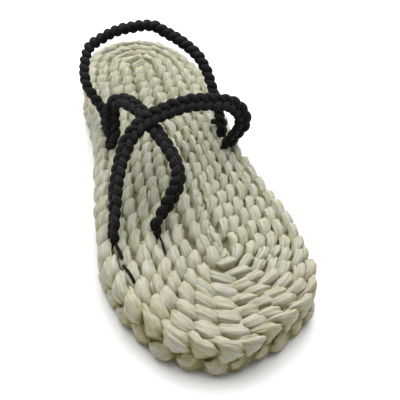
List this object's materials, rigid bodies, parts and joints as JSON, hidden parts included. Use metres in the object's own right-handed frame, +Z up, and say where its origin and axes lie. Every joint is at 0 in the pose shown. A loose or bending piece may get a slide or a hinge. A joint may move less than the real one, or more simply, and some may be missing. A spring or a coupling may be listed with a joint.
{
  "type": "straw sandal",
  "caption": "Waraji for the left foot: a thick flat sole coiled from one husk plait, with black plaited cord straps over the toe, instep and heel",
  "frame": {"origin": "centre of the bounding box, on the floor under the sole", "axes": "+Z up, toe to -Y, heel to +Y, big toe side to -X"},
  "size_m": [0.1086, 0.2549, 0.0645],
  "materials": {
    "husk_plait": "dry pale maize husk, plaited, matt with a soft sheen",
    "black_cord": "black plaited cotton cord, matt"
  },
  "bodies": {
    "root": {"sole_coiled_plait": "husk_plait", "upper_toe_instep_straps": "black_cord", "upper_heel_strap": "black_cord"}
  },
  "joints": []
}
